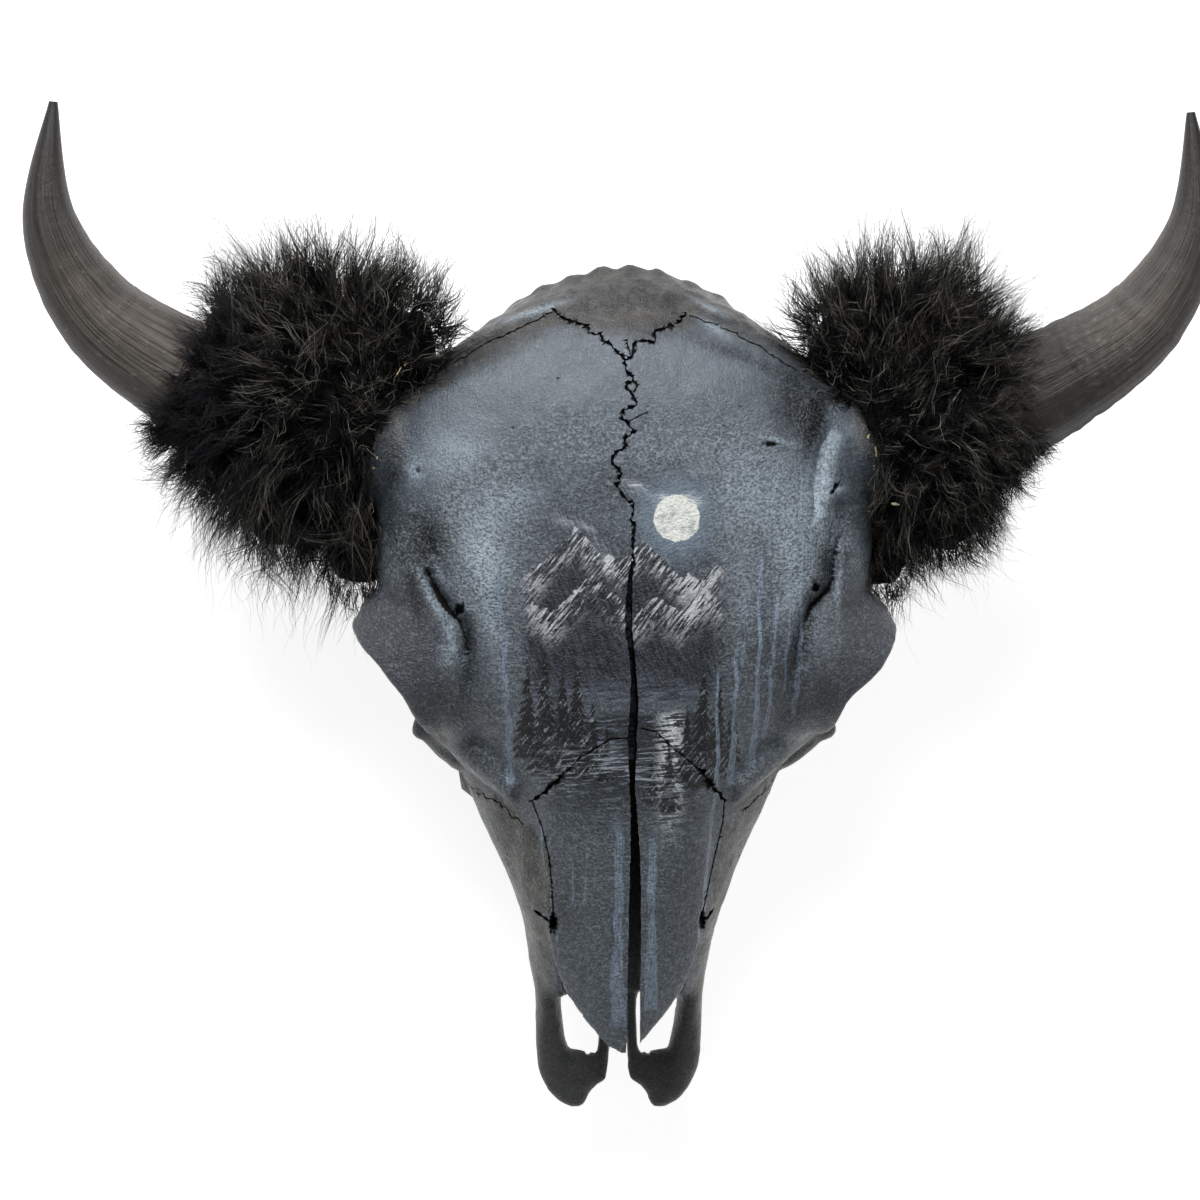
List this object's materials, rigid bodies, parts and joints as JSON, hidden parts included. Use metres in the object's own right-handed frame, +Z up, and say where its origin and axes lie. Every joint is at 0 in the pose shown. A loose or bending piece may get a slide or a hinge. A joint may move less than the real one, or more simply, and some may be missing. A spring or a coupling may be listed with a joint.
{
  "type": "painted bison skull with fur collars on its horns",
  "caption": "Bison skull without its lower jaw, its face painted with a night landscape, with two curved horns, each rising out of a shaggy black fur collar.",
  "frame": {"origin": "bottom centre of the whole piece, at the height of the table that it lies on", "axes": "+X to the skull's right-hand side as seen in the picture, across the horns; +Y towards the crown; +Z up out of the forehead, away from the table"},
  "size_m": [0.68, 0.5949, 0.2408],
  "materials": {
    "painted_bone": "bone painted in satin blue-grey and near-black acrylic, with pale drips",
    "horn_sheath": "weathered fibrous dark horn",
    "black_fur": "long shaggy black-brown hair on hide",
    "tooth": "stained ivory enamel and dentine"
  },
  "bodies": {
    "root": {"skull": "painted_bone", "left_horn": "horn_sheath", "right_horn": "horn_sheath", "left_fur_collar": "black_fur", "right_fur_collar": "black_fur", "left_premolar_2": "tooth", "left_premolar_3": "tooth", "left_premolar_4": "tooth", "left_molar_1": "tooth", "left_molar_2": "tooth", "left_molar_3": "tooth", "right_premolar_2": "tooth", "right_premolar_3": "tooth", "right_premolar_4": "tooth", "right_molar_1": "tooth", "right_molar_2": "tooth", "right_molar_3": "tooth"}
  },
  "joints": []
}
